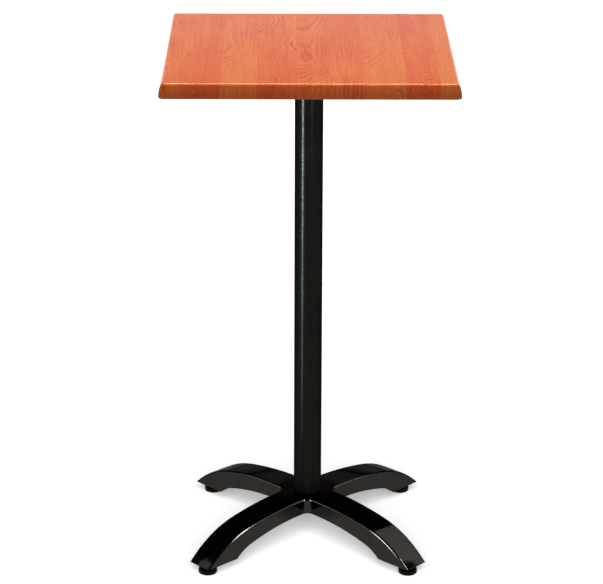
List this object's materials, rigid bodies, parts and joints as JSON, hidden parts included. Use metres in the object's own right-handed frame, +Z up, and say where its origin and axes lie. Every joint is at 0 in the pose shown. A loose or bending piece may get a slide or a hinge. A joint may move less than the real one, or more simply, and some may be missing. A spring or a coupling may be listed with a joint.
{
  "type": "bar table",
  "caption": "Square bar table: moulded wood-decor top with a down-turned rim, round black steel column and a cast cross-shaped base on screw-adjustable levelling feet.",
  "frame": {"origin": "on the floor, under the middle of the column", "axes": "+Z up along the column, X and Y along the edges of the square top, base arms on the diagonals"},
  "size_m": [0.6, 0.6, 1.1],
  "materials": {
    "wood_decor": "satin cherry plank decor",
    "black_enamel_spider": "satin",
    "black_enamel_column": "semi-gloss",
    "black_gloss_enamel": "gloss",
    "zinc_plated_steel": "bright",
    "blackened_steel": "satin",
    "black_plastic": "matt"
  },
  "bodies": {
    "table": {"table_top": "wood_decor", "top_spider": "black_enamel_spider", "spider_screws": "zinc_plated_steel", "column_tube": "black_enamel_column", "tie_rod": "zinc_plated_steel", "top_washer": "zinc_plated_steel", "top_lock_washer": "zinc_plated_steel", "top_nut": "zinc_plated_steel", "bottom_washer": "zinc_plated_steel", "bottom_lock_washer": "zinc_plated_steel", "bottom_nut": "zinc_plated_steel", "base_casting": "black_gloss_enamel"},
    "front_left_pad": {"foot_pad_front_left": "black_plastic"},
    "front_left_stud": {"foot_stud_front_left": "blackened_steel"},
    "front_right_pad": {"foot_pad_front_right": "black_plastic"},
    "front_right_stud": {"foot_stud_front_right": "blackened_steel"},
    "back_left_pad": {"foot_pad_back_left": "black_plastic"},
    "back_left_stud": {"foot_stud_back_left": "blackened_steel"},
    "back_right_pad": {"foot_pad_back_right": "black_plastic"},
    "back_right_stud": {"foot_stud_back_right": "blackened_steel"}
  },
  "joints": [
    {"name": "front_left_travel", "type": "slide", "parent": "table", "child": "front_left_pad", "axis": [0, 0, -1], "range_m": [0, 0.005]},
    {"name": "front_left_turn", "type": "hinge", "parent": "front_left_pad", "child": "front_left_stud", "pos_m": [-0.21355, -0.21355, 0.0225], "axis": [0, 0, -1], "range_deg": [0, 1440]},
    {"name": "front_right_travel", "type": "slide", "parent": "table", "child": "front_right_pad", "axis": [0, 0, -1], "range_m": [0, 0.005]},
    {"name": "front_right_turn", "type": "hinge", "parent": "front_right_pad", "child": "front_right_stud", "pos_m": [0.21355, -0.21355, 0.0225], "axis": [0, 0, -1], "range_deg": [0, 1440]},
    {"name": "back_left_travel", "type": "slide", "parent": "table", "child": "back_left_pad", "axis": [0, 0, -1], "range_m": [0, 0.005]},
    {"name": "back_left_turn", "type": "hinge", "parent": "back_left_pad", "child": "back_left_stud", "pos_m": [-0.21355, 0.21355, 0.0225], "axis": [0, 0, -1], "range_deg": [0, 1440]},
    {"name": "back_right_travel", "type": "slide", "parent": "table", "child": "back_right_pad", "axis": [0, 0, -1], "range_m": [0, 0.005]},
    {"name": "back_right_turn", "type": "hinge", "parent": "back_right_pad", "child": "back_right_stud", "pos_m": [0.21355, 0.21355, 0.0225], "axis": [0, 0, -1], "range_deg": [0, 1440]}
  ],
  "couplings": [
    {"joint": "front_left_turn", "follows": "front_left_travel", "rad_per_m": 5026.5},
    {"joint": "front_right_turn", "follows": "front_right_travel", "rad_per_m": 5026.5},
    {"joint": "back_left_turn", "follows": "back_left_travel", "rad_per_m": 5026.5},
    {"joint": "back_right_turn", "follows": "back_right_travel", "rad_per_m": 5026.5}
  ]
}
